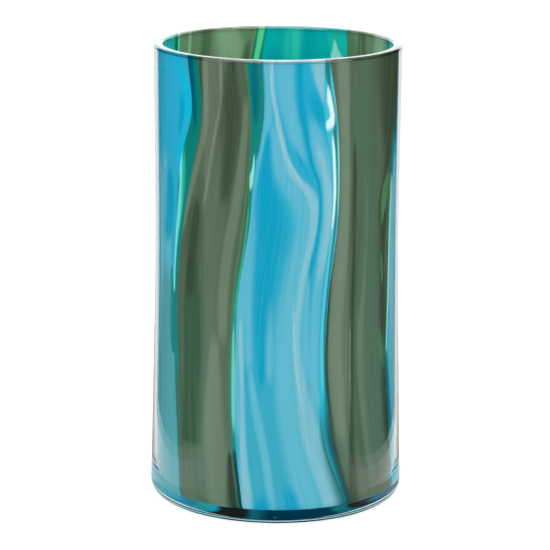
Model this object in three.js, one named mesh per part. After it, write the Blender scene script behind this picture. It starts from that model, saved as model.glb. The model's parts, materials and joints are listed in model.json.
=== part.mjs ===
// Hand blown art glass vase: a straight cylinder of cased ribbon glass.
// An aqua first gather lines the vase. Ribbons of blue and olive glass lie on it, with thin threads of
// bright glass in their seams. A thick clear gather cases them all, and a clear bead closes the mouth.
// Millimetres, +Z up, origin at the middle of the foot, front of the vase towards -Y.
import * as THREE from 'three';
import { mergeVertices } from 'three/addons/utils/BufferGeometryUtils.js';

// Driving dimensions
const HEIGHT = 280;
const RIM_RADIUS = 75;
const FOOT_RADIUS = 77.5;
const WAIST_RADIUS = 74.4;
const HEEL_RADIUS = 9;
const WALL = 5.7;
const GAP = 0.35; // clearance kept between one layer of glass and the next
const CASING_WALL = 1.9; // at the rim, where the casing is thinnest but for the waist
const COLOUR_WALL = 1.4;
const BASE_CLEAR = 8; // clear glass under the colour
const LINING_FLOOR = 2;
const CORNER_RADIUS = 6; // inside corner of the casing
const PUNTY_RADIUS = 24; // polished hollow where the punty was broken off
const PUNTY_DEPTH = 2;
const LIP_ROUND = 1.6; // the softened edges of the lip, and its height
const ROUND_STEPS = 54; // flats in a full turn

// Layers, from the outside in
const casingInner = RIM_RADIUS - CASING_WALL;
const colourOuter = casingInner - GAP;
const colourMiddle = colourOuter - COLOUR_WALL / 2;
const liningOuter = colourOuter - COLOUR_WALL - GAP;
const liningInner = RIM_RADIUS - WALL;
const colourFloor = BASE_CLEAR + GAP + COLOUR_WALL / 2;
const liningFloorUnder = BASE_CLEAR + GAP + COLOUR_WALL + GAP;
const liningFloorTop = liningFloorUnder + LINING_FLOOR;
const wallTop = HEIGHT - LIP_ROUND - GAP;

const degrees = Math.PI / 180;
const materials = {
  clear: new THREE.MeshStandardMaterial({ color: '#e6f1ee', roughness: 0.03, metalness: 0 }),
  aqua: new THREE.MeshStandardMaterial({ color: '#7fc9b6', roughness: 0.05, metalness: 0 }),
  blue: new THREE.MeshStandardMaterial({ color: '#35a3c4', roughness: 0.08, metalness: 0 }),
  olive: new THREE.MeshStandardMaterial({ color: '#566b50', roughness: 0.08, metalness: 0 }),
  mint: new THREE.MeshStandardMaterial({ color: '#4cbf9c', roughness: 0.08, metalness: 0 }),
  sky: new THREE.MeshStandardMaterial({ color: '#8ff0ef', roughness: 0.08, metalness: 0 }),
  deep: new THREE.MeshStandardMaterial({ color: '#0a5f78', roughness: 0.08, metalness: 0 }),
};

const vase = new THREE.Group();

function addPiece(name, geometry, material) {
  const piece = new THREE.Mesh(geometry, material);
  piece.name = name;
  vase.add(piece);
}

// An arc of an outline, from one angle to another, as points
function arc(middleX, middleY, radius, from, to, steps) {
  const clockwise = to < from;
  const curve = new THREE.EllipseCurve(
    middleX, middleY, radius, radius, from * degrees, to * degrees, clockwise);
  return curve.getPoints(steps);
}

// A turned piece: the outline is (radius, height) and is spun round +Z
function turned(outline) {
  const geometry = new THREE.LatheGeometry(outline, ROUND_STEPS);
  geometry.deleteAttribute('normal');
  geometry.deleteAttribute('uv');
  geometry.rotateX(Math.PI / 2);
  return mergeVertices(geometry, 1e-4);
}

// Outer clear gather: thin on the wall, thick and round-heeled at the foot, with the punty hollow
function clearCasing() {
  const puntySphere = (PUNTY_RADIUS ** 2 + PUNTY_DEPTH ** 2) / (2 * PUNTY_DEPTH);
  const puntyAngle = Math.asin(PUNTY_RADIUS / puntySphere) / degrees;
  const puntyHollow = arc(0, PUNTY_DEPTH - puntySphere, puntySphere, 90, 90 - puntyAngle, 4);
  const heel = arc(FOOT_RADIUS - HEEL_RADIUS, HEEL_RADIUS, HEEL_RADIUS, -90, 0, 6);
  const outerWall = new THREE.SplineCurve([
    new THREE.Vector2(FOOT_RADIUS, HEEL_RADIUS),
    new THREE.Vector2(FOOT_RADIUS - 0.8, HEIGHT * 0.14),
    new THREE.Vector2(WAIST_RADIUS, HEIGHT * 0.55),
    new THREE.Vector2(RIM_RADIUS, wallTop),
  ]).getPoints(8);
  const innerCorner = arc(
    casingInner - CORNER_RADIUS, BASE_CLEAR + CORNER_RADIUS, CORNER_RADIUS, 0, -90, 6);
  return turned([
    ...puntyHollow,
    ...heel,
    ...outerWall.slice(1),
    new THREE.Vector2(casingInner, wallTop),
    ...innerCorner,
    new THREE.Vector2(0, BASE_CLEAR),
  ]);
}

// First gather: a cup of aqua glass that holds the ribbons
function aquaLining() {
  const outerCorner = CORNER_RADIUS - (casingInner - liningOuter);
  const innerCorner = outerCorner - (liningOuter - liningInner);
  return turned([
    new THREE.Vector2(0, liningFloorUnder),
    ...arc(liningOuter - outerCorner, liningFloorUnder + outerCorner, outerCorner, -90, 0, 5),
    new THREE.Vector2(liningOuter, wallTop),
    new THREE.Vector2(liningInner, wallTop),
    ...arc(liningInner - innerCorner, liningFloorTop + innerCorner, innerCorner, 0, -90, 5),
    new THREE.Vector2(0, liningFloorTop),
  ]);
}

// Fire-polished bead that closes the wall's edge over the colour, flat on top with softened edges
function lipBead() {
  const outerEdge = arc(RIM_RADIUS - LIP_ROUND, HEIGHT - LIP_ROUND, LIP_ROUND, 0, 90, 5);
  const innerEdge = arc(liningInner + LIP_ROUND, HEIGHT - LIP_ROUND, LIP_ROUND, 90, 180, 5);
  return turned([...outerEdge, ...innerEdge, outerEdge[0].clone()]);
}

// Middle surface of the colour, from the rim down the wall, round the heel and in under the floor.
// Each level has a radius, a height and the outward direction of the glass there.
function colourLevels() {
  const wallSteps = 15;
  const cornerSteps = 6;
  const corner = CORNER_RADIUS - (casingInner - colourMiddle);
  const cornerTop = colourFloor + corner;
  const levels = [];
  for (let step = 0; step <= wallSteps; step += 1) {
    const height = THREE.MathUtils.lerp(wallTop, cornerTop, step / wallSteps);
    levels.push({ radius: colourMiddle, height, out: 1, up: 0, floor: 0 });
  }
  for (let step = 1; step <= cornerSteps; step += 1) {
    const angle = (step / cornerSteps) * Math.PI / 2;
    levels.push({
      radius: colourMiddle - corner + corner * Math.cos(angle),
      height: cornerTop - corner * Math.sin(angle),
      out: Math.cos(angle),
      up: -Math.sin(angle),
      floor: 0,
    });
  }
  for (const radius of [35, 8]) {
    levels.push({ radius, height: colourFloor, out: 0, up: -1, floor: 1 });
  }
  return levels;
}

// The seams wander as the glass is twisted. Each is drawn as turns, in degrees right of the front, at
// these parts of the height, with the half width of the thread that fills it.
const seamHeights = [1, 0.88, 0.77, 0.65, 0.49, 0.34, 0.18, 0.03];
const seams = [
  { thread: 'dark_blue_thread', material: materials.deep,
    turn: [-43, -40.5, -47, -51.8, -55.5, -54, -51.8, -49.5], half: [3.3, 3, 4.5, 2.9, 1.6, 1.6, 1, 0.8] },
  { thread: 'green_thread', material: materials.mint,
    turn: [-11, -9.3, -11.7, -13.6, -19, -20.4, -19.7, -16], half: [3.2, 2.9, 1.1, 0.8, 0.8, 1.2, 0.9, 0.8] },
  { thread: 'bright_cyan_thread', material: materials.sky,
    turn: [23, 25.2, 28.1, 27.6, 23.3, 21.8, 25.2, 36.3], half: [1.2, 3.2, 1.8, 1.6, 1.3, 1.5, 2.2, 1.3] },
  { thread: 'leaf_green_thread', material: materials.mint,
    turn: [78, 75, 69.5, 67.3, 65.8, 63.5, 67, 70], half: [1.5, 1.5, 1.2, 1.2, 1, 0.9, 1, 1] },
  { thread: 'right_mint_thread', material: materials.mint,
    turn: [107, 108, 112, 115, 111, 106, 104, 106], half: [2, 2, 1.5, 1, 1, 1.5, 1, 1] },
  { thread: 'milk_mint_thread', material: materials.sky,
    turn: [149, 146, 142, 141, 145, 151, 152, 148], half: [6, 4, 2, 1.5, 1.2, 1.6, 1, 1] },
  { thread: 'back_green_thread', material: materials.mint,
    turn: [188, 193, 199, 202, 198, 192, 190, 194], half: [2.5, 2.5, 1.5, 1, 1.2, 2, 1, 1] },
  { thread: 'left_mint_thread', material: materials.mint,
    turn: [241.5, 244, 248, 251, 249, 245, 243, 246], half: [3, 2.5, 1.5, 1.2, 1.2, 1.5, 1, 1] },
];

// How fast a value drawn at the seam heights is changing at one of them
function slopeAt(values, index) {
  const above = Math.max(index - 1, 0);
  const below = Math.min(index + 1, values.length - 1);
  return (values[below] - values[above]) / (seamHeights[below] - seamHeights[above]);
}

// A value drawn at the seam heights, read at any height on a smooth curve
function readAtHeight(values, height) {
  const wanted = THREE.MathUtils.clamp(height / HEIGHT, seamHeights.at(-1), seamHeights[0]);
  const below = Math.max(1, seamHeights.findIndex((knot) => knot <= wanted));
  const above = below - 1;
  const span = seamHeights[below] - seamHeights[above];
  const part = (wanted - seamHeights[above]) / span;
  return (values[above] * (1 + 2 * part) + slopeAt(values, above) * span * part) * (1 - part) ** 2
    + (values[below] * (3 - 2 * part) - slopeAt(values, below) * span * (1 - part)) * part ** 2;
}

// Edges of the thread in one seam at one level. Under the floor the threads have run out.
function seamEdges(seam, level) {
  const turn = readAtHeight(seam.turn, level.height);
  const half = level.floor ? 0 : readAtHeight(seam.half, level.height);
  return { left: turn - half, right: turn + half };
}

// A strip of coloured glass bent round the vase: a flat box whose length follows the levels, whose width
// runs between two edges given in degrees, and whose thickness is the colour's
function colourStrip(levels, edges) {
  const widest = Math.max(...edges.map((edge) => edge.right - edge.left));
  const across = Math.max(1, Math.ceil(widest / (360 / ROUND_STEPS)));
  const geometry = new THREE.BoxGeometry(1, levels.length - 1, 1, across, levels.length - 1, 1);
  geometry.deleteAttribute('normal');
  geometry.deleteAttribute('uv');
  const strip = mergeVertices(geometry, 1e-4);
  const places = strip.getAttribute('position');
  for (let index = 0; index < places.count; index += 1) {
    const row = Math.round((levels.length - 1) / 2 - places.getY(index));
    const level = levels[row];
    const clearance = GAP / 2 / level.radius / degrees;
    const turn = THREE.MathUtils.lerp(
      edges[row].left + clearance, edges[row].right - clearance, places.getX(index) + 0.5) * degrees;
    const outward = places.getZ(index) * COLOUR_WALL;
    const radius = level.radius + level.out * outward;
    places.setXYZ(index, radius * Math.sin(turn), -radius * Math.cos(turn),
      level.height + level.up * outward);
  }
  return strip;
}

// Ribbons of colour, each from the seam on its left to the next seam
function addColour() {
  const levels = colourLevels();
  const threadLevels = levels.filter((level) => !level.floor);
  const ribbons = [
    ['left_olive_ribbon', materials.olive],
    ['centre_blue_ribbon', materials.blue],
    ['right_olive_ribbon', materials.olive],
    ['right_blue_ribbon', materials.blue],
    ['back_right_olive_ribbon', materials.olive],
    ['back_blue_ribbon', materials.blue],
    ['back_left_olive_ribbon', materials.olive],
    ['left_blue_ribbon', materials.blue],
  ];
  ribbons.forEach(([name, material], index) => {
    const next = (index + 1) % seams.length;
    const wholeTurn = next === 0 ? 360 : 0;
    const edges = levels.map((level) => ({
      left: seamEdges(seams[index], level).right,
      right: seamEdges(seams[next], level).left + wholeTurn,
    }));
    addPiece(name, colourStrip(levels, edges), material);
  });
  for (const seam of seams) {
    const edges = threadLevels.map((level) => seamEdges(seam, level));
    addPiece(seam.thread, colourStrip(threadLevels, edges), seam.material);
  }
}

addPiece('clear_casing', clearCasing(), materials.clear);
addPiece('lip_bead', lipBead(), materials.clear);
addPiece('aqua_lining', aquaLining(), materials.aqua);
addColour();

export default vase;
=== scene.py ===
# Hand blown art glass vase: ribbons of blue and olive glass between an aqua lining and a clear casing.
# Metres, +Z up, front towards -Y.
import json
import math

import bmesh
import bpy
from mathutils import Matrix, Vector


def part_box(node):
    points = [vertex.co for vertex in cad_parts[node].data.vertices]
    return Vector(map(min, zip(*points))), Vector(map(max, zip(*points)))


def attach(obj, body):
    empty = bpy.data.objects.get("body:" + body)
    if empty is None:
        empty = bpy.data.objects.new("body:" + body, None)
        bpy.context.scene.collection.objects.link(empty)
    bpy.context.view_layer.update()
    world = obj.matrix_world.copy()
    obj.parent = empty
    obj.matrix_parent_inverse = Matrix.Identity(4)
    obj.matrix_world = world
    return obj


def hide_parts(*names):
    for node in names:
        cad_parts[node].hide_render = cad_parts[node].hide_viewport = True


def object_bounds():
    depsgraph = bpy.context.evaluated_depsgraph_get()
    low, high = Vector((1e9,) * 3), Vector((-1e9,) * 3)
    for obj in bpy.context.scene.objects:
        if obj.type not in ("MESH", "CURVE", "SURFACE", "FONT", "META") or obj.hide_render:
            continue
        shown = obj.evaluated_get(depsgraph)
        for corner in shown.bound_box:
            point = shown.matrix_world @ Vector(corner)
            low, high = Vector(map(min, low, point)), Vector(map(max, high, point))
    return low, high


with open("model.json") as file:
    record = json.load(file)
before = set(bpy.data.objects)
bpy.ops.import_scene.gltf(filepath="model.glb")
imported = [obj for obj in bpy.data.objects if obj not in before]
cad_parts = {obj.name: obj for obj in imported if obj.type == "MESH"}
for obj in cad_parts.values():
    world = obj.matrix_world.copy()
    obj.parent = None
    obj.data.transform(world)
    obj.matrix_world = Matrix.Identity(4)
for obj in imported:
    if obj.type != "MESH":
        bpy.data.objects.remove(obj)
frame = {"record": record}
cad_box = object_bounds()
scene = bpy.context.scene

# Camera: a long lens, a little above the mouth and looking down on it, tilted a hair as the vase
# leans in the view.
foot, top = cad_box[0].z, cad_box[1].z
height = top - foot
camera_place = (-0.001, -1.672, 0.525)
look_down = math.radians(13.085)
lean = math.radians(0.35)
camera_data = bpy.data.cameras.new("camera")
camera_data.lens = 183.5
camera_data.sensor_width = 36.0
camera_data.clip_start = 0.05
camera = bpy.data.objects.new("camera", camera_data)
scene.collection.objects.link(camera)
camera.matrix_world = (
    Matrix.Translation(camera_place)
    @ Matrix.Rotation(math.pi / 2 - look_down, 4, "X")
    @ Matrix.Rotation(lean, 4, "Z")
)
scene.camera = camera

# Studio: a white table in even white light. Two dark cards stand at the sides, seen only in the
# glass, and the glass sees the front of the table dark, so its clear edges read against the white.
scene.view_settings.view_transform = "Standard"
scene.cycles.max_bounces = 24
scene.cycles.transmission_bounces = 24
scene.render.film_transparent = False
world = bpy.data.worlds.new("white_room")
scene.world = world
world.use_nodes = True
world.node_tree.nodes["Background"].inputs["Color"].default_value = (1.0, 1.0, 1.0, 1.0)
world.node_tree.nodes["Background"].inputs["Strength"].default_value = 1.3

softbox_data = bpy.data.lights.new("softbox", "AREA")
softbox_data.shape = "DISK"
softbox_data.size = 0.9
softbox_data.energy = 5.0
softbox = bpy.data.objects.new("softbox", softbox_data)
softbox.location = (0.0, 0.0, 1.2)
scene.collection.objects.link(softbox)

inner_glow_data = bpy.data.lights.new("inner_glow", "POINT")
inner_glow_data.shadow_soft_size = 0.03
inner_glow_data.energy = 0.8
inner_glow = bpy.data.objects.new("inner_glow", inner_glow_data)
inner_glow.location = (0.0, 0.0, foot + 0.17)
inner_glow.visible_camera = False
inner_glow.visible_glossy = False
inner_glow.visible_transmission = False
scene.collection.objects.link(inner_glow)


def new_material(name):
    """A material, its node tree and its shader."""
    material = bpy.data.materials.new(name)
    material.use_nodes = True
    return material, material.node_tree, material.node_tree.nodes["Principled BSDF"]


def feed(tree, source, socket):
    """Fills a socket with a number or a colour, or from another node's output."""
    if isinstance(source, (int, float)):
        socket.default_value = source
    elif isinstance(source, tuple):
        socket.default_value = (*source, 1.0)
    else:
        tree.links.new(source, socket)


def math_node(tree, operation, first, second=0.0, clamp=False):
    node = tree.nodes.new("ShaderNodeMath")
    node.operation = operation
    node.use_clamp = clamp
    feed(tree, first, node.inputs[0])
    feed(tree, second, node.inputs[1])
    return node.outputs["Value"]


def map_range(tree, source, low, high, at_low=0.0, at_high=1.0, smooth=False):
    node = tree.nodes.new("ShaderNodeMapRange")
    node.interpolation_type = "SMOOTHSTEP" if smooth else "LINEAR"
    feed(tree, source, node.inputs["Value"])
    for socket, value in (("From Min", low), ("From Max", high), ("To Min", at_low), ("To Max", at_high)):
        node.inputs[socket].default_value = value
    return node.outputs["Result"]


def mix_colours(tree, amount, under, over, kind="MIX", clamp=False):
    node = tree.nodes.new("ShaderNodeMix")
    node.data_type = "RGBA"
    node.blend_type = kind
    node.clamp_result = clamp
    for socket, source in (("Factor", amount), ("A", under), ("B", over)):
        feed(tree, source, node.inputs[socket])
    return node.outputs["Result"]


def object_place(tree):
    """X, Y and Z in the piece's own coordinates."""
    split = tree.nodes.new("ShaderNodeSeparateXYZ")
    tree.links.new(tree.nodes.new("ShaderNodeTexCoord").outputs["Object"], split.inputs["Vector"])
    return split.outputs


def mesh_from(name, shape):
    mesh = bpy.data.meshes.new(name)
    shape.to_mesh(mesh)
    shape.free()
    return mesh


def stand_in_studio(name, sheet, material):
    piece = bpy.data.objects.new(name, mesh_from(name, sheet))
    piece.data.materials.append(material)
    scene.collection.objects.link(piece)
    return piece


table_material, tree, table_shader = new_material("table_white")
table_shader.inputs["Roughness"].default_value = 0.6
table_shader.inputs["Specular IOR Level"].default_value = 0.0
table_shader.inputs["Emission Strength"].default_value = 0.85
# To the glass, the table is darkest within 38 degrees of the front, and still greyish beyond 62
place = object_place(tree)
forward = math_node(tree, "MULTIPLY", place["Y"], -1.0)
off_front = math_node(tree, "ABSOLUTE", math_node(tree, "ARCTAN2", place["X"], forward))
dark_front = map_range(tree, off_front, math.radians(38), math.radians(62), 1.0, 0.38, smooth=True)
ray = tree.nodes.new("ShaderNodeLightPath").outputs
in_glass = math_node(tree, "MAXIMUM", ray["Is Glossy Ray"], ray["Is Transmission Ray"])
straight = math_node(tree, "LESS_THAN", ray["Diffuse Depth"], 0.5)
shaded = math_node(tree, "MULTIPLY", straight, math_node(tree, "MULTIPLY", in_glass, dark_front))
for socket, light, dark in (("Base Color", 0.35, 0.02), ("Emission Color", 1.0, 0.03)):
    tint = mix_colours(tree, shaded, (light, light, light), (dark, dark, dark))
    tree.links.new(tint, table_shader.inputs[socket])
table_half, table_drop = 6.0, 0.0004
sheet = bmesh.new()
bmesh.ops.create_grid(sheet, x_segments=1, y_segments=1, size=table_half)
bmesh.ops.translate(sheet, verts=sheet.verts, vec=(0.0, 0.0, foot - table_drop))
stand_in_studio("table", sheet, table_material)

card_material, tree, card_shader = new_material("card_black")
card_shader.inputs["Base Color"].default_value = (0.01, 0.01, 0.01, 1.0)
card_shader.inputs["Specular IOR Level"].default_value = 0.0
# Light that has left a matt face goes through the cards, so they put no shade on the vase or the table
scattered = tree.nodes.new("ShaderNodeLightPath").outputs["Diffuse Depth"]
card_mix = tree.nodes.new("ShaderNodeMixShader")
tree.links.new(math_node(tree, "GREATER_THAN", scattered, 0.5), card_mix.inputs["Fac"])
tree.links.new(card_shader.outputs["BSDF"], card_mix.inputs[1])
tree.links.new(tree.nodes.new("ShaderNodeBsdfTransparent").outputs["BSDF"], card_mix.inputs[2])
tree.links.new(card_mix.outputs["Shader"], tree.nodes["Material Output"].inputs["Surface"])
card_size = (0.004, 0.26, 0.6)
card_back, card_middle = 0.025, 0.3
for card_x, name in ((-0.185, "left_card"), (0.171, "right_card")):
    sheet = bmesh.new()
    bmesh.ops.create_cube(sheet, size=1.0)
    bmesh.ops.scale(sheet, verts=sheet.verts, vec=card_size)
    bmesh.ops.translate(sheet, verts=sheet.verts, vec=(card_x, card_back, card_middle))
    card = stand_in_studio(name, sheet, card_material)
    card.visible_camera = False
    card.visible_diffuse = False
    card.visible_shadow = False

# Aqua lining: the first gather on the pipe, pale aqua glass blown to a cup with a flat floor. The
# colour is laid on it hot, and the mouth shows it pale and clear inside the coloured wall.
lining_low, lining_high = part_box("aqua_lining")
wall_top = lining_high.z
lining_outer = lining_high.x
lip_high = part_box("lip_bead")[1]
rim_radius = lip_high.x
lining_wall = 0.0018
lining_inner = lining_outer - lining_wall
lining_floor = lining_low.z
lining_floor_thick = 0.002
lining_corner = 0.0039


def add_object(name, mesh):
    piece = bpy.data.objects.new(name, mesh)
    scene.collection.objects.link(piece)
    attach(piece, "root")
    return piece


def round_corner(middle_r, middle_z, radius, start, stop, steps):
    """Points along a round stretch of an outline, angles in degrees."""
    points = []
    for step in range(steps + 1):
        angle = math.radians(start + (stop - start) * step / steps)
        points.append((middle_r + radius * math.cos(angle), middle_z + radius * math.sin(angle)))
    return points


def spin_outline(name, outline, closed, turns=256):
    """A glass piece turned from its outline of (radius, height) points."""
    glass = bmesh.new()
    corners = [glass.verts.new((radius, 0.0, level)) for radius, level in outline]
    edges = [glass.edges.new(pair) for pair in zip(corners, corners[1:])]
    if closed:
        edges.append(glass.edges.new((corners[-1], corners[0])))
    bmesh.ops.spin(
        glass, geom=corners + edges, cent=(0, 0, 0), axis=(0, 0, 1), dvec=(0, 0, 0),
        angle=2 * math.pi, steps=turns, use_merge=True, use_normal_flip=False, use_duplicate=False)
    bmesh.ops.remove_doubles(glass, verts=glass.verts, dist=1e-6)
    bmesh.ops.recalc_face_normals(glass, faces=glass.faces)
    mesh = mesh_from(name, glass)
    mesh.polygons.foreach_set("use_smooth", [True] * len(mesh.polygons))
    mesh.set_sharp_from_angle(angle=math.radians(35))
    return mesh


def glass_material(name, ior, low_tint, low, high_tint, high):
    """Glass whose tint changes with height, from one level to another."""
    material, tree, shader = new_material(name)
    shader.inputs["Roughness"].default_value = 0.0
    shader.inputs["IOR"].default_value = ior
    shader.inputs["Transmission Weight"].default_value = 1.0
    rise = map_range(tree, object_place(tree)["Z"], low, high, smooth=True)
    tree.links.new(mix_colours(tree, rise, low_tint, high_tint), shader.inputs["Base Color"])
    return material


inner_round = lining_corner - lining_wall
inner_floor = lining_floor + lining_floor_thick
outline = [(0.0, lining_floor)]
outline += round_corner(
    lining_outer - lining_corner, lining_floor + lining_corner, lining_corner, -90, 0, 10)
outline += [(lining_outer, wall_top), (lining_inner, wall_top)]
outline += round_corner(lining_inner - inner_round, inner_floor + inner_round, inner_round, 0, -90, 10)
outline += [(0.0, inner_floor)]
lining = add_object("aqua_lining_glass", spin_outline("aqua_lining_glass", outline, closed=False))
lining.data.materials.append(glass_material(
    "aqua_glass", 1.2, (0.8, 0.97, 0.92), 0.02, (0.88, 0.99, 0.95), 0.25))
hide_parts("aqua_lining")

# Colour: eight ribbons of blue and olive glass with a thin thread in each seam between them. Bars of
# colour are picked up hot on the lining and twisted, so the seams wander as they go down the wall,
# round the heel and in under the floor.

# Each seam is drawn at these heights, in parts of the whole: first its place in degrees right of the
# front, then half the width of its thread in degrees
seam_heights = (1, 0.88, 0.77, 0.65, 0.49, 0.34, 0.18, 0.03)
seams = {
    "dark_blue_thread": (
        (-43, -40.5, -47, -51.8, -55.5, -54, -51.8, -49.5), (3.3, 3, 4.5, 2.9, 1.6, 1.6, 1, 0.8)),
    "green_thread": (
        (-11, -9.3, -11.7, -13.6, -19, -20.4, -19.7, -16), (3.2, 2.9, 1.1, 0.8, 0.8, 1.2, 0.9, 0.8)),
    "bright_cyan_thread": (
        (23, 25.2, 28.1, 27.6, 23.3, 21.8, 25.2, 36.3), (1.2, 3.2, 1.8, 1.6, 1.3, 1.5, 2.2, 1.3)),
    "leaf_green_thread": (
        (78, 75, 69.5, 67.3, 65.8, 63.5, 67, 70), (1.5, 1.5, 1.2, 1.2, 1, 0.9, 1, 1)),
    "right_mint_thread": (
        (107, 108, 112, 115, 111, 106, 104, 106), (2, 2, 1.5, 1, 1, 1.5, 1, 1)),
    "milk_mint_thread": (
        (149, 146, 142, 141, 145, 151, 152, 148), (6, 4, 2, 1.5, 1.2, 1.6, 1, 1)),
    "back_green_thread": (
        (188, 193, 199, 202, 198, 192, 190, 194), (2.5, 2.5, 1.5, 1, 1.2, 2, 1, 1)),
    "left_mint_thread": (
        (241.5, 244, 248, 251, 249, 245, 243, 246), (3, 2.5, 1.5, 1.2, 1.2, 1.5, 1, 1)),
}
seam_names = list(seams)


def read_curve(knots, values, level):
    """Smooth reading of values drawn at falling knots, at one level."""
    level = min(max(level, knots[-1]), knots[0])
    below = next(index for index in range(1, len(knots)) if knots[index] <= level)
    above = below - 1

    def slope(index):
        before, after = max(index - 1, 0), min(index + 1, len(knots) - 1)
        return (values[after] - values[before]) / (knots[after] - knots[before])

    span = knots[below] - knots[above]
    part = (level - knots[above]) / span
    return (
        (values[above] * (1 + 2 * part) + slope(above) * span * part) * (1 - part) ** 2
        + (values[below] * (3 - 2 * part) - slope(below) * span * (1 - part)) * part ** 2)


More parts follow.
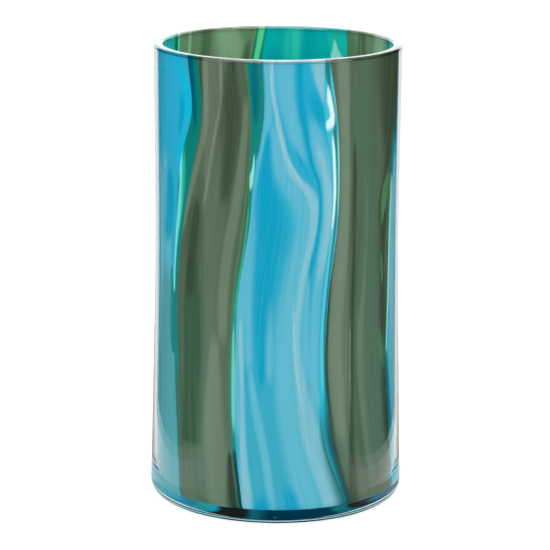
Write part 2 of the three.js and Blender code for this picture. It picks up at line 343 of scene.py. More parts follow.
# The trails in each strip, as the maker drags them. Pale, milk and vein are lighter glass, smoke, deep
# and ink are darker, shade is darker glass and on the left olive painted shade, and the glints are
# painted light: painted highlights, and painted light shining through thin seams.
# Each point of a trail is (height in mm, degrees right of the front, half width in degrees).
ribbon_trails = {
    "left_blue_ribbon": {
        "pale": [
            ((280, -99, 4), (230, -96, 5), (180, -92, 6), (120, -96, 5.6), (60, -101, 6), (5, -99, 7)),
            ((225, -66, 2), (190, -65, 4), (150, -64, 5), (110, -66, 9), (70, -66, 12), (5, -66, 14)),
        ],
        "milk": [
            ((220, -72, 1), (190, -71, 1.4), (100, -70, 2), (5, -70, 2)),
            ((280, -97, 1.5), (240, -90, 2), (200, -86, 2.6), (160, -84, 2.6), (110, -88, 2.4),
             (60, -92, 2.6), (5, -90, 3.6)),
            ((250, -104, 1), (210, -99, 2), (160, -96, 2.2), (110, -101, 2), (60, -105, 2), (5, -105, 3)),
        ],
        "smoke": [((160, -64, 2), (130, -64, 7), (100, -64, 11), (70, -63, 14), (5, -62, 17))],
        "shade": [((152, -59, 0.6), (130, -58, 1.8), (110, -57, 2.4), (96, -56, 1.6))],
        "deep": [
            ((262, -50.5, 1), (250, -49.5, 2.2), (238, -51, 1.6), (226, -53, 0.8)),
            ((272, -67, 0.8), (267, -66, 2.2), (262, -64, 0.8)),
            ((215, -62, 2), (190, -61, 4), (160, -64, 3)),
            ((280, -92, 2), (240, -90, 3), (200, -86, 3), (150, -84, 3), (100, -86, 3), (50, -88, 3)),
            ((280, -112, 2), (230, -108, 2.6), (180, -104, 2.6), (120, -109, 2.6), (60, -113, 2)),
        ],
        "painted_glint": [
            ((276, -54, 1.5), (262, -48.5, 2.5), (246, -45.6, 2.4), (238, -46, 2)),
            ((240, -47.4, 0.8), (229, -49.8, 1.4), (221, -52.4, 2), (214, -52.2, 1), (204, -52, 0.4)),
        ],
    },
    "left_olive_ribbon": {
        "pale": [((280, -32, 3), (250, -31, 3.4), (225, -35, 2.6), (200, -38, 2))],
        "milk": [
            ((277, -35.5, 1.6), (262, -35, 1.5), (245, -35, 1.5), (230, -37, 1.6), (215, -40.5, 1.7),
             (200, -44, 1.5), (185, -47.5, 1.2), (168, -50, 0.8)),
            ((277, -27, 1), (255, -27, 0.8), (235, -30, 0.8), (218, -32.5, 0.8), (200, -35, 0.8),
             (185, -38, 0.8)),
            ((262, -14.5, 1), (240, -15, 1.4), (222, -16.4, 1.8), (205, -17.8, 2.2), (188, -20, 2.4),
             (170, -22.7, 2.6), (150, -24.6, 2.6), (130, -25.6, 2.4), (105, -25.4, 2)),
            ((120, -30, 1.5), (95, -30, 3), (65, -30, 5), (30, -28, 6), (8, -26, 6)),
        ],
        # Painted shade: this trail darkens the wall where the dark left card is mirrored in the glass.
        "shade": [
            ((160, -43, 3), (135, -43.4, 5), (110, -43, 5.4), (80, -43.2, 5.2), (55, -43.4, 5.4),
             (44, -43.6, 5.6)),
        ],
        "deep": [
            ((276, -22, 2), (255, -22, 4), (235, -22.5, 4), (210, -24, 3), (190, -26, 2)),
            ((200, -40, 1.5), (175, -42, 3.5), (150, -44, 3), (130, -45, 2)),
            ((276, -38, 0.8), (262, -38, 1), (246, -37.4, 0.8)),
        ],
        "ink": [((46, -22, 0.4), (38, -21.4, 1.2), (28, -21, 1.8), (15, -20.2, 2.6), (5, -19, 3.4))],
        "painted_glint": [
            ((280, -14.9, 0.9), (262, -12.8, 0.8), (245, -12.2, 0.7), (222, -12.6, 0.5),
             (190, -15.2, 0.4), (150, -19.4, 0.5), (120, -21, 0.6), (90, -22, 0.5), (60, -21.6, 0.4)),
        ],
    },
    "centre_blue_ribbon": {
        "pale": [
            ((280, -5, 3.2), (262, -4.2, 3), (245, -4.4, 2), (232, -6.6, 0.9), (215, -9, 0.7),
             (195, -11.4, 0.8), (175, -13, 0.9), (160, -14.6, 1.1), (140, -16.8, 1.6), (118, -17, 2),
             (90, -16, 2.4)),
            ((280, 3, 4.6), (262, 4, 4.2), (250, 5.6, 3.8), (236, 8, 3), (224, 11, 2), (214, 14, 1)),
            ((252, -2, 0.6), (240, -1, 2.2), (225, 0.6, 3.6), (212, 3.8, 5.4), (205, 8, 6.6),
             (200, 11, 7.2), (195, 12.5, 6.6), (190, 13.6, 5.8), (180, 13.8, 5.4), (170, 12.2, 5.4),
             (160, 10.2, 5.4), (150, 8.5, 5.2), (140, 7, 5.2), (118, 4.6, 5), (95, 4.4, 5),
             (70, 5.4, 4.6), (45, 9, 5), (20, 14, 6), (5, 16, 6)),
            ((280, 18.6, 4), (270, 19.8, 2.8), (260, 21, 1.6), (250, 22, 0.5)),
            ((162, 14.8, 0.8), (140, 13.4, 1.8), (120, 13, 2.2), (100, 14, 2.2), (80, 16.6, 1.2)),
            ((198, -10.4, 0.6), (175, -11.4, 1.6), (150, -13, 2.2), (130, -13.6, 2.2), (110, -13, 1.8),
             (88, -12, 0.8)),
            ((144, -3.4, 0.8), (120, -3.4, 1.8), (100, -3, 1.8), (82, -2.6, 0.8)),
            ((118, -18.6, 0.6), (95, -18.4, 1.2), (70, -18, 1.2), (48, -17.8, 0.6)),
            ((104, -13, 0.6), (80, -10.4, 1.4), (60, -7.6, 1.8), (40, -4.6, 1.8), (20, -2.6, 1.8),
             (5, -1.8, 2)),
            ((116, 4, 0.8), (80, 5, 1.6), (60, 6.6, 2), (40, 10, 2.6), (20, 15, 3.2), (5, 18, 3.6)),
            ((252, 14, 0.6), (240, 17, 2.4), (226, 19.8, 4), (210, 22.8, 3.2), (198, 23.8, 2.8),
             (185, 23.6, 2.8), (170, 22, 2.4), (155, 20.4, 2.2), (140, 19, 2.2), (120, 18, 2.2),
             (90, 17.6, 2.2), (65, 20, 2.4)),
        ],
        "milk": [
            ((280, -3, 1), (265, -2.5, 1), (250, -0.5, 0.9), (235, 2, 1), (222, 4, 1.3), (212, 8, 2),
             (205, 13, 2.4), (198, 16.4, 2.2), (188, 17.4, 1.7), (175, 16.2, 1.5), (160, 13.6, 1.4),
             (145, 11.4, 1.3), (120, 9.4, 1.3), (100, 10, 1.8), (80, 12.4, 3.2), (62, 15.2, 4.6),
             (40, 20, 4.8), (20, 25.6, 5), (5, 28.6, 5)),
            ((280, 18, 3.4), (268, 19.4, 2.4), (258, 21.2, 1.2), (248, 22.4, 0.4)),
            ((236, 17, 0.8), (222, 20.6, 1.6), (208, 23.4, 1.6), (195, 24.4, 1.8), (180, 24, 1.8),
             (162, 21.6, 1.5), (142, 19, 1)),
            ((132, -16.6, 0.6), (110, -16.6, 0.9), (85, -15.8, 1), (60, -15.4, 1.3), (38, -14.8, 1.9),
             (20, -13.6, 2.5), (5, -12.8, 3)),
        ],
        "deep": [
            ((244, -4.2, 0.4), (232, -4.5, 1.4), (218, -5, 2.6), (205, -5, 4.6), (192, -3, 6.4),
             (175, -3, 6.6), (158, -4.6, 5.6), (140, -6, 4.6), (120, -7, 3), (100, -7, 2), (80, -7, 1)),
            ((280, 9.5, 1.6), (262, 9.8, 2), (250, 11, 1.8), (240, 12.6, 1.3), (228, 14.5, 1),
             (217, 16.6, 0.9), (208, 19.2, 0.9), (198, 20.4, 0.8), (185, 20.2, 0.8), (172, 18.8, 0.9),
             (158, 16.2, 0.9), (145, 14.4, 0.6)),
            ((268, 14.4, 0.4), (259, 16, 2), (252, 18.2, 3), (245, 20, 2.4), (237, 21, 0.8)),
            ((24, -5, 1), (14, -6, 3.5), (5, -6, 4)),
            ((30, 4, 1), (16, 7, 3), (5, 9, 4)),
            ((280, -7.6, 0.5), (255, -6.8, 0.7), (235, -8, 0.4)),
            ((234, 7, 0.3), (226, 9, 0.9), (217, 12.4, 0.9), (208, 16.4, 0.5)),
        ],
        "vein": [
            ((280, -2.6, 0.5), (265, -2.8, 0.5), (255, -1.7, 0.5), (240, 0.4, 0.6), (228, 3, 0.7),
             (219, 6, 0.7), (211, 9.6, 0.7), (204, 13, 0.6), (194, 16.6, 0.4)),
            ((142, 7.6, 0.2), (120, 8, 0.5), (100, 8.8, 0.6), (85, 10.6, 0.6), (66, 13, 0.4)),
        ],
        "ink": [
            ((280, -7.6, 0.8), (255, -7.2, 1), (235, -8.4, 0.8), (222, -9.7, 0.4)),
            ((80, 21.8, 0.4), (54, 23.2, 2), (34, 27.6, 3.2), (16, 32.4, 3.6), (5, 35, 3.4)),
        ],
    },
    "right_olive_ribbon": {
        "pale": [
            ((44, 62, 2), (32, 62, 6), (20, 62, 9), (5, 62, 10)),
            ((50, 41, 0.8), (34, 42, 2), (20, 44, 3.4), (5, 46.5, 4)),
            ((268, 53.5, 1), (240, 55, 2.2), (200, 54.5, 2), (175, 54, 1)),
        ],
        "milk": [
            ((277, 31, 3), (255, 32, 3), (230, 33, 2.6), (200, 33.4, 2.8), (170, 32, 3), (140, 29.4, 3.6),
             (110, 28, 3.8), (85, 29.4, 3.6), (62, 31, 2.6), (44, 33.4, 1.2)),
            ((215, 44, 0.8), (190, 46.6, 1), (165, 46.6, 1.2), (140, 45, 1.5), (118, 43, 2),
             (95, 43.4, 2.3), (70, 45.2, 2.3), (45, 48.4, 2.3), (20, 52.5, 2)),
        ],
        "smoke": [
            ((280, 43, 4), (255, 44, 6), (220, 45, 6.5), (180, 47.6, 6), (145, 50, 5.4), (110, 50.5, 6),
             (85, 51.5, 7), (60, 53.5, 7), (40, 56, 6.5), (12, 58, 5)),
        ],
        "deep": [
            ((280, 65, 9), (262, 64.5, 8.6), (246, 64, 7.4), (232, 63.6, 5), (218, 63.6, 3),
             (205, 60, 1.4), (190, 56.6, 0.9), (172, 58.4, 2), (155, 58.6, 2.4), (135, 60, 3),
             (115, 60, 3), (95, 60.6, 1.6), (84, 61.4, 1)),
            ((235, 38, 0.5), (200, 38.6, 1.2), (160, 38.4, 1), (130, 37.8, 0.9), (90, 37.8, 0.8),
             (60, 37.8, 1.1), (34, 38, 2), (18, 39, 2.6), (5, 40, 2.6)),
            ((192, 64.2, 0.3), (180, 61.4, 1.8), (168, 60, 2), (156, 59.8, 1.2), (144, 60.4, 0.8)),
            ((280, 70, 4), (262, 70, 5), (240, 68, 4), (225, 68, 2)),
        ],
        "vein": [((128, 36.4, 0.2), (100, 36.4, 0.4), (66, 36.4, 0.2))],
        "ink": [
            ((205, 29.8, 0.3), (170, 26.8, 0.7), (137, 24.8, 0.9), (95, 23.6, 0.9), (70, 25.2, 1),
             (50, 27.6, 1.2), (30, 32, 1.4), (5, 38.2, 1.4)),
            ((98, 60.4, 0.8), (84, 61, 2), (70, 62.2, 2.8), (58, 63.6, 3.2), (48, 65, 3.2),
             (40, 66.2, 2.6), (34, 67, 0.8)),
        ],
        "painted_glint": [
            ((209, 65.6, 0.6), (203, 63.4, 2), (197, 61.6, 2.8), (190, 60.4, 2.6), (184, 59.2, 1.4),
             (176, 58.2, 0.4)),
            ((209, 66.4, 0.3), (196, 66.6, 0.6), (180, 65.4, 0.5), (162, 64.4, 0.3)),
            ((162, 57.8, 0.3), (154, 58.4, 1), (146, 59.2, 0.9), (138, 58.8, 0.3)),
            ((115, 56.8, 0.4), (104, 57.8, 1.1), (96, 59, 1), (86, 61, 0.4)),
            ((112, 59.4, 0.2), (99, 60.6, 0.4), (88, 61.6, 0.2)),
        ],
    },
    "right_blue_ribbon": {
        "pale": [
            ((140, 72, 3), (110, 71, 4.5), (80, 72, 5.5), (50, 74, 6), (5, 76, 8)),
            ((280, 88, 4), (230, 87, 5), (160, 86, 6), (90, 87, 6), (5, 90, 5)),
        ],
        "milk": [
            ((222, 74, 1), (200, 73, 3), (170, 71.6, 4), (135, 71, 4), (100, 75, 4), (50, 80, 5)),
            ((276, 96, 1), (230, 98, 2), (180, 102, 2.4), (130, 98, 2), (80, 94, 2), (20, 93, 3)),
        ],
        "deep": [((276, 88, 3), (230, 90, 4), (180, 92, 4), (130, 88, 4))],
        "ink": [
            ((280, 80, 3), (258, 78, 3), (238, 75, 2.6), (222, 72.6, 1.4)),
            ((100, 63.6, 0.8), (84, 64.8, 1.6), (70, 66, 2), (56, 67.8, 2), (44, 69.6, 1.8),
             (37, 70.6, 0.8)),
        ],
    },
    "back_right_olive_ribbon": {
        "milk": [
            ((280, 117, 5), (262, 119, 4.6), (235, 120, 2.6), (200, 121, 2.6), (160, 119, 2.6),
             (110, 113, 2), (50, 112, 3)),
            ((277, 135, 1.5), (230, 133, 2), (180, 131, 2), (130, 134, 2), (80, 137, 2.6), (20, 132, 3)),
        ],
        "shade": [((280, 142, 2), (268, 141, 3.4), (250, 140, 3.4), (225, 138, 2))],
        "deep": [
            ((240, 126, 2), (210, 127, 3.6), (180, 126, 4), (120, 122, 4.6), (60, 121, 4), (10, 120, 3)),
            ((280, 133, 3), (262, 133, 3.4), (240, 132, 2.4)),
        ],
        "painted_glint": [
            ((262, 140.6, 0.8), (250, 139.4, 2), (235, 138, 1.6), (215, 137.5, 1), (190, 137.5, 0.6)),
        ],
    },
    "back_blue_ribbon": {
        "pale": [
            ((280, 172, 4), (240, 175, 4), (200, 180, 5), (160, 182, 5), (110, 176, 5), (60, 169, 5),
             (10, 170, 6)),
        ],
        "milk": [
            ((280, 171, 2), (262, 171, 1.6), (240, 173, 1.8), (205, 178, 2.4), (170, 182, 2.4),
             (130, 178, 2), (90, 170, 2), (50, 167, 2.6), (10, 170, 3)),
            ((240, 158, 1), (210, 155, 2), (170, 154, 2.4), (130, 158, 2), (80, 162, 2), (20, 158, 2)),
        ],
        "deep": [
            ((280, 164, 2), (268, 164, 3), (250, 164, 3), (200, 166, 4), (160, 167, 4), (110, 165, 3.6),
             (60, 158, 3)),
            ((270, 181, 2.6), (235, 184, 3.4), (195, 190, 4), (155, 191, 3), (110, 184, 3), (60, 179, 2)),
        ],
    },
    "back_left_olive_ribbon": {
        "milk": [
            ((280, 207, 6), (264, 205, 7), (240, 208, 5), (200, 215, 3), (160, 217, 3), (110, 211, 3),
             (60, 206, 3), (10, 209, 4)),
            ((277, 230, 1), (230, 234, 1.4), (180, 239, 1.6), (130, 236, 1.4), (80, 231, 1.6),
             (20, 233, 2)),
        ],
        "deep": [
            ((276, 219, 3), (230, 222, 3.6), (180, 228, 4), (130, 226, 4), (80, 220, 3.6), (20, 221, 3)),
            ((275, 195, 1.5), (250, 198, 2), (225, 202, 1.4)),
        ],
    },
    "dark_blue_thread": {
        "milk": [
            ((228, -48.6, 0.9), (212, -48.8, 1), (196, -49.8, 1), (182, -51.6, 0.8), (168, -53.6, 0.5)),
        ],
        "smoke": [((98, -54.2, 0.6), (85, -53.6, 1.6), (60, -52.8, 2), (5, -49.5, 2))],
        "deep": [((279, -44.6, 1.6), (262, -43, 1.4), (246, -41.4, 1), (232, -42.6, 0.7))],
        "painted_glint": [
            ((230, -49.4, 0.6), (221, -51.4, 1.5), (212, -51.2, 1.2), (203, -51.2, 1), (192, -52, 1.3),
             (180, -53.4, 1.4), (168, -55.2, 1.5), (155, -56.6, 1.5), (145, -56.7, 1.1),
             (134, -56.2, 0.4)),
        ],
    },
    "green_thread": {
        "pale": [((128, -19.8, 0.3), (110, -20.2, 0.6), (88, -20, 1), (68, -19.7, 1), (52, -19.5, 0.5))],
        "milk": [((200, -12.8, 0.4), (170, -15, 0.5), (140, -18.6, 0.6), (120, -20.2, 0.6))],
        "deep": [((279, -10.6, 1.3), (262, -10.3, 1.6), (250, -9.9, 1.1), (238, -10, 0.5))],
        "ink": [((48, -20, 0.8), (40, -19.6, 2), (24, -17.8, 2), (5, -16, 2))],
        "painted_glint": [
            ((226, -10.6, 0.2), (217, -11, 0.5), (212, -11.5, 1.1), (208, -12, 0.8), (202, -12.4, 0.2)),
        ],
    },
    "bright_cyan_thread": {
        "pale": [
            ((190, 26.8, 0.5), (172, 25.8, 0.9), (150, 23.6, 1), (125, 22, 1), (100, 21.7, 1),
             (75, 22.4, 0.9)),
        ],
        "milk": [
            ((266, 26, 0.25), (254, 27.6, 0.45), (244, 28.4, 0.3)),
            ((243, 28.4, 0.25), (220, 29.5, 0.4), (200, 29.5, 0.4), (184, 28.7, 0.25)),
        ],
        "smoke": [((84, 23.4, 1.4), (66, 24, 2.4), (50, 25.2, 3), (30, 30, 3), (5, 36.3, 3))],
        "deep": [
            ((280, 23, 1.4), (270, 23.4, 1), (262, 24.6, 0.5), (252, 26.6, 0.5), (243, 27.4, 0.5),
             (236, 27.2, 1), (226, 28, 0.5), (212, 28.5, 0.35), (196, 28.6, 0.35), (180, 27.8, 0.6),
             (150, 24.9, 0.5), (120, 22.9, 0.5), (90, 23.1, 0.6), (66, 24.8, 1.2), (50, 26.4, 1.6),
             (30, 31, 1.6), (8, 36.8, 1.2)),
        ],
        "ink": [((72, 25.4, 0.6), (50, 27.2, 1.6), (30, 31.8, 1.8), (5, 37.8, 2))],
        "painted_glint": [
            ((266, 23.4, 0.2), (256, 24.3, 1.2), (250, 25.4, 1.1), (246, 25.7, 1.2), (243, 24.8, 2),
             (240, 24.2, 1.8), (237, 23.6, 1)),
            ((237, 25.8, 0.2), (228, 26.6, 0.6), (215, 27.2, 0.65), (200, 27.5, 0.6), (188, 27, 0.45),
             (178, 26.2, 0.3)),
        ],
    },
    "leaf_green_thread": {
        "deep": [
            ((280, 78, 1.6), (250, 75.4, 1.6), (226, 71.4, 0.8)),
            ((98, 63.4, 0.8), (80, 64.4, 1.2), (60, 66, 1.4), (42, 67.6, 1.4)),
        ],
        "painted_glint": [
            ((206, 68.6, 0.5), (190, 67.9, 0.9), (165, 66.8, 0.9), (140, 66, 0.9), (118, 65, 0.8),
             (96, 63.6, 0.5)),
        ],
    },
    "right_mint_thread": {
        "painted_glint": [
            ((270, 107.4, 0.6), (230, 110, 1), (180, 115, 0.7), (120, 109, 0.9), (84, 105.6, 0.6),
             (60, 104, 0.2)),
        ],
    },
    "milk_mint_thread": {
        "painted_glint": [
            ((274, 150.4, 0.3), (268, 149.8, 1.2), (260, 148.8, 3.6), (250, 147, 4), (235, 144.6, 2.4),
             (215, 142.4, 1.2), (196, 141.6, 0.7), (176, 141.4, 0.2)),
        ],
    },
    "back_green_thread": {
        "painted_glint": [
            ((280, 188, 1.6), (262, 190.6, 1.4), (240, 194.4, 1.2), (210, 200, 0.9), (192, 201.6, 0.5),
             (176, 202, 0.2)),
            ((114, 193.4, 0.2), (98, 192, 0.6), (80, 190.6, 0.9), (62, 190, 0.6), (48, 190, 0.2)),
        ],
    },
    "left_mint_thread": {
        "milk": [((280, 243.6, 0.8), (255, 245.4, 0.8), (225, 249, 0.6), (190, 251.4, 0.4))],
        "deep": [((280, 241.5, 0.7), (250, 243.4, 0.6), (225, 247.4, 0.4))],
        "painted_glint": [((280, 239.4, 0.8), (255, 240.6, 0.7), (225, 246, 0.6), (190, 250.4, 0.2))],
    },
}
# Each kind in the order it is laid, with how soft its sides are and how long its ends fade, in mm
trail_kinds = {
    "pale": (0.6, 14), "milk": (0.5, 14), "smoke": (0.9, 24), "shade": (0.3, 3), "deep": (0.7, 12),
    "vein": (0.35, 14), "ink": (0.9, 5), "painted_glint": (0.45, 4)}
runs_to_lip, runs_to_foot = 276, 10
thinnest = 0.15


def ease(part):
    """A part of the way from 0 to 1, eased in and out."""
    part = min(max(part, 0.0), 1.0)
    return part * part * (3 - 2 * part)


def trails_at(trails, level_mm, fading):
    """Trails of one kind at one level: middle and half width in degrees, and how much is left of each.

    A trail fades out at its ends, unless it runs on to the lip or the foot.
    """
    lying = []
    for trail in trails:
        knots = [point[0] for point in trail]
        fade = 1.0
        if knots[0] < runs_to_lip:
            fade = min(fade, max(0.0, (knots[0] - level_mm) / fading))
        if knots[-1] > runs_to_foot:
            fade = min(fade, max(0.0, (level_mm - knots[-1]) / fading))
        if fade > 0:
            middle = read_curve(knots, [point[1] for point in trail], level_mm)
            half = read_curve(knots, [point[2] for point in trail], level_mm)
            lying.append((middle, max(half, thinnest), ease(fade)))
    return lying


def cover_at(lying, turn, softness):
    """How fully the trails of one kind cover a point at this turn."""
    fullest = 0.0
    for middle, half, fade in lying:
        reach = half * (1 + softness)
        fullest = max(fullest, fade * ease((reach - abs(turn - middle)) / (2 * half * softness)))
    return fullest


colour_wall = 0.0014
layer_gap = 0.00035
colour_outer = lining_outer + layer_gap + colour_wall
colour_under = lining_floor - layer_gap - colour_wall
colour_round = lining_corner + layer_gap + colour_wall
corner_top = colour_under + colour_round
wall_rows = 230
corner_rows = 12
floor_radii = (0.055, 0.045, 0.035, 0.022, 0.008, 0.0012)
lip_cover = 0.0006
colour_top = top - lip_cover
seam_gap = 0.00002
cell_degrees = 0.7
fewest_cells = 6
foot_flare = 0.0012
flare_low, flare_high = 0.04, 0.19


def flare(level):
    """How far the wall has spread outward towards the foot at this level."""
    return foot_flare * ease((flare_high - level) / (flare_high - flare_low))


colour_levels = []
for row in range(wall_rows + 1):
    level = colour_top + (corner_top - colour_top) * row / wall_rows
    colour_levels.append((colour_outer + flare(level), level, False))
for row in range(1, corner_rows + 1):
    angle = row / corner_rows * math.pi / 2
    colour_levels.append((
        colour_outer + foot_flare - colour_round + colour_round * math.cos(angle),
        corner_top - colour_round * math.sin(angle), False))
for radius in floor_radii:
    colour_levels.append((radius, colour_under, True))


def seam_sides(name, level, under_floor):
    """Both sides of a thread at one level, which meet where the seam runs on under the floor."""
    turns, halves = seams[name]
    turn = read_curve(seam_heights, turns, level / height)
    half = 0.0 if under_floor else read_curve(seam_heights, halves, level / height)
    return turn - half, turn + half


def lay_strip(name, sides, levels, trails):
    """A strip of colour bent round the vase between two sides, with its trails as masks on its points."""
    across = max(fewest_cells, round(max(right - left for left, right in sides) / cell_degrees))
    along = len(levels) - 1
    strip = bmesh.new()
    bmesh.ops.create_grid(strip, x_segments=across, y_segments=along, size=0.5)
    strip.verts.index_update()
    flow = strip.loops.layers.uv.new("flow")
    masks = {kind: strip.verts.layers.float.new(kind) for kind in trail_kinds}
    rows_sides = list(zip(*sides))
    mean_left = sum(rows_sides[0]) / len(sides)
    mean_right = sum(rows_sides[1]) / len(sides)
    lying = [
        {kind: trails_at(trails.get(kind, ()), level * 1000, trail_kinds[kind][1]) for kind in trail_kinds}
        for _, level, _ in levels]
    place = {}
    for corner in strip.verts:
        row = round((0.5 - corner.co.y) * along)
        part = corner.co.x + 0.5
        left, right = sides[row]
        radius, level, _ = levels[row]
        slack = math.degrees(seam_gap / radius)
        turn = left + slack + (right - left - 2 * slack) * part
        for kind, (softness, _) in trail_kinds.items():
            corner[masks[kind]] = cover_at(lying[row][kind], turn, softness)
        place[corner.index] = ((mean_left + (mean_right - mean_left) * part) / 360, level / height)
        angle = math.radians(turn)
        corner.co = (radius * math.sin(angle), -radius * math.cos(angle), level)
    for face in strip.faces:
        for loop in face.loops:
            loop[flow].uv = place[loop.vert.index]
    for edge in strip.edges:
        edge.smooth = not edge.is_boundary
    mesh = mesh_from(name, strip)
    mesh.polygons.foreach_set("use_smooth", [True] * len(mesh.polygons))
    return mesh


def flow_place(tree):
    """Where a point lies in its strip: across in parts of a turn, up in parts of the height."""
    flow_map = tree.nodes.new("ShaderNodeUVMap")
    flow_map.uv_map = "flow"
    return flow_map.outputs["UV"]


def streak_group():
    """Fine drawn-out streaks of a glass that was not stirred through, along the flow of the strip."""
    group = bpy.data.node_groups.new("drawn_streaks", "ShaderNodeTree")
    for name in ("Across", "Down", "Detail"):
        group.interface.new_socket(name, in_out="INPUT", socket_type="NodeSocketFloat")
    group.interface.new_socket("Streak", in_out="OUTPUT", socket_type="NodeSocketFloat")
    nodes, links = group.nodes, group.links
    entry, leave = nodes.new("NodeGroupInput"), nodes.new("NodeGroupOutput")
    stretch = nodes.new("ShaderNodeCombineXYZ")
    links.new(entry.outputs["Across"], stretch.inputs["X"])
    links.new(entry.outputs["Down"], stretch.inputs["Y"])
    scaled = nodes.new("ShaderNodeVectorMath")
    scaled.operation = "MULTIPLY"
    links.new(flow_place(group), scaled.inputs[0])
    links.new(stretch.outputs["Vector"], scaled.inputs[1])
    noise = nodes.new("ShaderNodeTexNoise")
    noise.inputs["Scale"].default_value = 1.0
    noise.inputs["Distortion"].default_value = 0.35
    links.new(scaled.outputs["Vector"], noise.inputs["Vector"])
    links.new(entry.outputs["Detail"], noise.inputs["Detail"])
    links.new(map_range(group, noise.outputs["Fac"], 0.3, 0.7), leave.inputs["Streak"])
    return group


def side_group():
    """Tells the inner face of the colour from its outer face, how far round the heel a point lies, and the
    underside's colour with its painted shade.
    """
    group = bpy.data.node_groups.new("colour_side", "ShaderNodeTree")
    for name, kind in (("Inside", "Float"), ("Under", "Float"), ("Foot Colour And Shade", "Color")):
        group.interface.new_socket(name, in_out="OUTPUT", socket_type="NodeSocket" + kind)
    leave = group.nodes.new("NodeGroupOutput")
    place = object_place(group)
    square = [math_node(group, "MULTIPLY", place[axis], place[axis]) for axis in ("X", "Y")]
    radius = math_node(group, "SQRT", math_node(group, "ADD", *square))
    spread = map_range(group, place["Z"], flare_low, flare_high, foot_flare, 0.0, smooth=True)
    corner_radius = math_node(group, "ADD", spread, colour_outer - colour_round)
    out = math_node(group, "MAXIMUM", math_node(group, "SUBTRACT", radius, corner_radius), 0.0)
    down = math_node(group, "MAXIMUM", math_node(group, "SUBTRACT", corner_top, place["Z"]), 0.0)
    squares = math_node(
        group, "ADD", math_node(group, "MULTIPLY", out, out), math_node(group, "MULTIPLY", down, down))
    middle_round = colour_round - colour_wall / 2
    inside = math_node(group, "LESS_THAN", math_node(group, "SQRT", squares), middle_round)
    turned_in = map_range(group, down, colour_round * 0.86, colour_round * 0.93)
    under = math_node(group, "MULTIPLY", turned_in, math_node(group, "SUBTRACT", 1.0, inside))
    # The underside is painted in stripes across the view: ribbon colours, with painted shade in the dark
    # stripes.
    ramp = group.nodes.new("ShaderNodeValToRGB")
    ramp.color_ramp.interpolation = "EASE"
    feed(group, map_range(group, place["X"], -rim_radius, rim_radius), ramp.inputs["Fac"])
    blue, teal, sea, slate = (0.02, 0.45, 0.75), (0.03, 0.7, 0.9), (0.08, 0.65, 0.6), (0.03, 0.36, 0.42)
    dark, navy = (0.035, 0.03, 0.022), (0.0, 0.09, 0.17)
    stripes = (
        (0.12, blue), (0.17, (0.12, 0.72, 0.66)), (0.21, teal), (0.24, (0.02, 0.4, 0.62)), (0.28, sea),
        (0.305, teal), (0.33, dark), (0.4, dark), (0.43, (0.02, 0.3, 0.4)), (0.48, navy), (0.67, navy),
        (0.695, slate), (0.715, slate), (0.735, dark), (0.765, dark), (0.785, (0.03, 0.3, 0.52)))
    stops = ramp.color_ramp.elements
    for index, (position, tone) in enumerate(stripes):
        stop = stops[index] if index < 2 else stops.new(position)
        stop.position = position
        stop.color = (*tone, 1.0)
    for name, output in (("Foot Colour And Shade", ramp.outputs["Color"]), ("Inside", inside), ("Under", under)):
        feed(group, output, leave.inputs[name])
    return group


drawn_streaks = streak_group()
colour_side = side_group()
trail_strength = 0.9


def colour_material(name, tones):
    """Coloured glass, from its tones: streaks along the flow, then each kind of trail over them, then
    painted light on the inner face and painted shade under the foot.
    """
    material, tree, shader = new_material(name)
    shader.inputs["Roughness"].default_value = 0.4
    shader.inputs["Specular IOR Level"].default_value = 0.0

    def streaks(across, down, detail):
        node = tree.nodes.new("ShaderNodeGroup")
        node.node_tree = drawn_streaks
        node.inputs["Across"].default_value = across
        node.inputs["Down"].default_value = down
        node.inputs["Detail"].default_value = detail
        return node.outputs["Streak"]

    def blend(under, over, amount, strength=1.0):
        return mix_colours(tree, math_node(tree, "MULTIPLY", amount, strength, clamp=True), under, over)

    split = tree.nodes.new("ShaderNodeSeparateXYZ")
    feed(tree, flow_place(tree), split.inputs["Vector"])
    colour = blend(tones["bottom"], tones["top"], map_range(tree, split.outputs["Y"], 0.15, 0.85))
    colour = blend(colour, tones["streak"], streaks(70.0, 1.6, 2.0), tones["broad"])
    colour = blend(colour, tones["pale"], streaks(120.0, 1.1, 3.0), tones["broad"] * 0.4)
    fine = streaks(260.0, 2.4, 2.0)
    grain = map_range(tree, fine, 0.0, 1.0, tones["drawn"], 1.3)
    masks = {}
    for kind in trail_kinds:
        mask = tree.nodes.new("ShaderNodeAttribute")
        mask.attribute_name = kind
        masks[kind] = mask.outputs["Fac"]
        drawn = math_node(tree, "MULTIPLY", masks[kind], grain, clamp=True)
        colour = blend(colour, tones[kind], drawn, trail_strength)
    colour = blend(colour, tones["streak"], fine, tones["fine"])
    side = tree.nodes.new("ShaderNodeGroup")
    side.node_tree = colour_side
    # Painted light: the inner face is made brighter and tinted, as if light from outside came through the
    # wall.
    colour = mix_colours(tree, side.outputs["Inside"], colour, tones["inside"], "MULTIPLY", clamp=True)
    # Painted shade: the underside takes the striped foot colour, darker where little light reaches the
    # base.
    colour = blend(colour, side.outputs["Foot Colour And Shade"], side.outputs["Under"])
    feed(tree, colour, shader.inputs["Base Color"])
    # Painted light: the glint trails shine as emission, though no lamp is there.
    feed(tree, blend((0.0, 0.0, 0.0), tones["painted_glint"], masks["painted_glint"]), shader.inputs["Emission Color"])
    shader.inputs["Emission Strength"].default_value = tones["painted_glint_shine"]
    return material
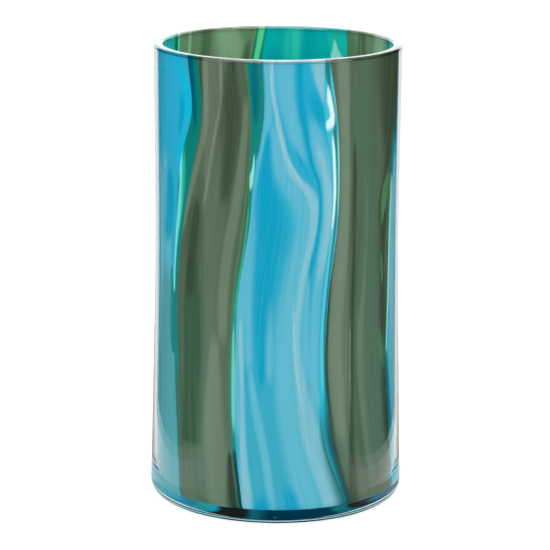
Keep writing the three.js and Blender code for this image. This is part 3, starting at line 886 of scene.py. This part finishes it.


# Linear colours, then how strong the broad and the fine streaks are, how much of a trail is left where
# it is drawn thinnest, what the inner face is multiplied by as painted light through the wall, and how
# much the painted glints shine
blue_tones = {
    "top": (0.025, 0.5, 0.76), "bottom": (0.06, 0.48, 0.64), "streak": (0.015, 0.41, 0.63),
    "milk": (0.33, 0.67, 0.78), "pale": (0.18, 0.61, 0.77), "deep": (0.0, 0.41, 0.65),
    "smoke": (0.11, 0.4, 0.41), "shade": (0.01, 0.22, 0.23), "ink": (0.0, 0.14, 0.14),
    "vein": (0.42, 0.71, 0.81), "painted_glint": (0.0, 0.6, 0.9),
    "broad": 0.3, "fine": 0.12, "drawn": 0.55, "inside": (0.2, 1.55, 1.12), "painted_glint_shine": 0.0}
olive_tones = {
    "top": (0.115, 0.175, 0.108), "bottom": (0.13, 0.24, 0.16), "streak": (0.07, 0.12, 0.07),
    "milk": (0.24, 0.33, 0.23), "pale": (0.15, 0.185, 0.12), "deep": (0.04, 0.06, 0.036),
    "smoke": (0.115, 0.225, 0.155), "shade": (0.04, 0.12, 0.07), "ink": (0.003, 0.02, 0.022),
    "vein": (0.27, 0.38, 0.26), "painted_glint": (0.09, 0.34, 0.15),
    "broad": 0.5, "fine": 0.45, "drawn": 0.45, "inside": (3.0, 2.8, 2.7), "painted_glint_shine": 0.0}
teal_tones = {
    "top": (0.0, 0.24, 0.2), "bottom": (0.02, 0.32, 0.33), "streak": (0.0, 0.19, 0.17),
    "milk": (0.03, 0.62, 0.42), "pale": (0.1, 0.6, 0.6), "deep": (0.0, 0.1, 0.2),
    "smoke": (0.07, 0.2, 0.155), "shade": (0.03, 0.1, 0.1), "ink": (0.0, 0.05, 0.06),
    "vein": (0.03, 0.62, 0.42), "painted_glint": (0.2, 0.9, 0.92),
    "broad": 0.2, "fine": 0.1, "drawn": 0.7, "inside": (1.0, 1.6, 1.2), "painted_glint_shine": 0.12}
mint_tones = {
    "top": (0.0, 0.27, 0.24), "bottom": (0.01, 0.3, 0.28), "streak": (0.0, 0.23, 0.2),
    "milk": (0.05, 0.52, 0.32), "pale": (0.24, 0.82, 0.66), "deep": (0.0, 0.14, 0.22),
    "smoke": (0.05, 0.2, 0.2), "shade": (0.03, 0.1, 0.1), "ink": (0.003, 0.035, 0.04),
    "vein": (0.24, 0.82, 0.66), "painted_glint": (0.45, 0.95, 0.8),
    "broad": 0.2, "fine": 0.1, "drawn": 0.7, "inside": (0.35, 1.3, 0.75), "painted_glint_shine": 0.1}
sky_tones = {
    "top": (0.05, 0.62, 0.8), "bottom": (0.03, 0.6, 0.8), "streak": (0.02, 0.5, 0.7),
    "milk": (0.3, 0.8, 0.52), "pale": (0.12, 0.72, 0.85), "deep": (0.01, 0.17, 0.17),
    "smoke": (0.02, 0.3, 0.38), "shade": (0.03, 0.1, 0.1), "ink": (0.01, 0.07, 0.06),
    "vein": (0.5, 0.9, 0.8), "painted_glint": (0.85, 1.0, 0.97),
    "broad": 0.2, "fine": 0.1, "drawn": 0.8, "inside": (0.4, 1.4, 1.0), "painted_glint_shine": 0.16}
colours = {
    "blue_glass": colour_material("blue_glass", blue_tones),
    "olive_glass": colour_material("olive_glass", olive_tones),
    "deep_blue_glass": colour_material("deep_blue_glass", teal_tones),
    "mint_glass": colour_material("mint_glass", mint_tones),
    "sky_glass": colour_material("sky_glass", sky_tones),
}
slots = {entry["node"]: entry["material_slot"] for entry in frame["record"]["subparts"]}


def finish_strip(name, sides, levels):
    """Lays a strip, gives it its wall inwards, its colour and its place in the frame."""
    mesh = lay_strip(name + "_glass", sides, levels, ribbon_trails.get(name, {}))
    strip = add_object(name + "_glass", mesh)
    thick = strip.modifiers.new("wall", "SOLIDIFY")
    thick.thickness = colour_wall
    thick.offset = -1
    thick.use_even_offset = True
    strip.data.materials.append(colours[slots[name]])
    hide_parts(name)


ribbon_names = (
    "left_olive_ribbon", "centre_blue_ribbon", "right_olive_ribbon", "right_blue_ribbon",
    "back_right_olive_ribbon", "back_blue_ribbon", "back_left_olive_ribbon", "left_blue_ribbon")
for index, name in enumerate(ribbon_names):
    after = seam_names[(index + 1) % len(seam_names)]
    whole_turn = 360 if index == len(ribbon_names) - 1 else 0
    turned_back = 360 if name == "left_blue_ribbon" else 0
    sides = []
    for _, level, under_floor in colour_levels:
        left = seam_sides(seam_names[index], level, under_floor)[1] - turned_back
        right = seam_sides(after, level, under_floor)[0] + whole_turn - turned_back
        sides.append((left, right))
    finish_strip(name, sides, colour_levels)
thread_levels = [level for level in colour_levels if not level[2]]
for name in seam_names:
    sides = [seam_sides(name, level, False) for _, level, _ in thread_levels]
    finish_strip(name, sides, thread_levels)

# Clear casing: the last gather of clear glass, blown out over the colour, thin on the wall and thick
# in the foot. Under it is the polished hollow where the punty was broken off.
foot_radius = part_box("clear_casing")[1].x
heel_round = 0.009
casing_inner = colour_outer + layer_gap
waist_radius = rim_radius - 0.0006
swell_radius = foot_radius - 0.0008
punty_radius = 0.024
punty_depth = 0.002
punty_sphere = (punty_radius ** 2 + punty_depth ** 2) / (2 * punty_depth)
punty_angle = math.degrees(math.asin(punty_radius / punty_sphere))
outline = [(0.0, punty_depth)]
outline += round_corner(0.0, punty_depth - punty_sphere, punty_sphere, 90, 90 - punty_angle, 8)[1:]
outline += round_corner(foot_radius - heel_round, heel_round, heel_round, -90, 0, 16)
wall_knots = (1.0, 0.55, 0.14, heel_round / height)
wall_radii = (rim_radius, waist_radius, swell_radius, foot_radius)
for step in range(1, 41):
    level = heel_round + (wall_top - heel_round) * step / 40
    outline.append((read_curve(wall_knots, wall_radii, level / height), level))
# Round the heel the bore closes on the colour, which lies fused in the clear glass this deep
fused = 0.0002
close_from, close_middle, close_in = corner_top + 0.004, corner_top + 0.002, 0.00028
for step in range(31):
    level = wall_top + (close_from - wall_top) * step / 30
    outline.append((casing_inner + flare(level), level))
outline.append((casing_inner + foot_flare - close_in, close_middle))
outline += round_corner(
    colour_outer + foot_flare - colour_round, corner_top, colour_round - fused, 0, -90, 24)
outline.append((0.0, colour_under + fused))
casing = add_object("clear_casing_glass", spin_outline("clear_casing_glass", outline, closed=False))
casing.data.materials.append(glass_material(
    "clear_glass", 1.3, (0.24, 0.56, 0.62), 0.002, (0.97, 0.99, 0.985), 0.011))
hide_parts("clear_casing")

# Lip: the bead of clear glass that closes the wall over the edge of the colour, melted smooth in the
# fire. It stands a hair above the wall, and its coat gives the edge a brighter shine.
lip_round = 0.0016
lip_seat = wall_top + 0.0001
outline = round_corner(rim_radius - lip_round, top - lip_round, lip_round, 0, 90, 8)
outline += round_corner(lining_inner + lip_round, top - lip_round, lip_round, 90, 180, 8)
outline += [(lining_inner, lip_seat), (rim_radius, lip_seat)]
lip = add_object("lip_bead_glass", spin_outline("lip_bead_glass", outline, closed=True))
lip_glass = glass_material(
    "lip_glass", 1.3, (0.35, 0.45, 0.42), top - lip_round, (0.95, 0.99, 0.98), top - 0.0003)
lip_shader = lip_glass.node_tree.nodes["Principled BSDF"]
lip_shader.inputs["Coat Weight"].default_value = 1.0
lip_shader.inputs["Coat IOR"].default_value = 1.8
lip.data.materials.append(lip_glass)
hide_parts("lip_bead")
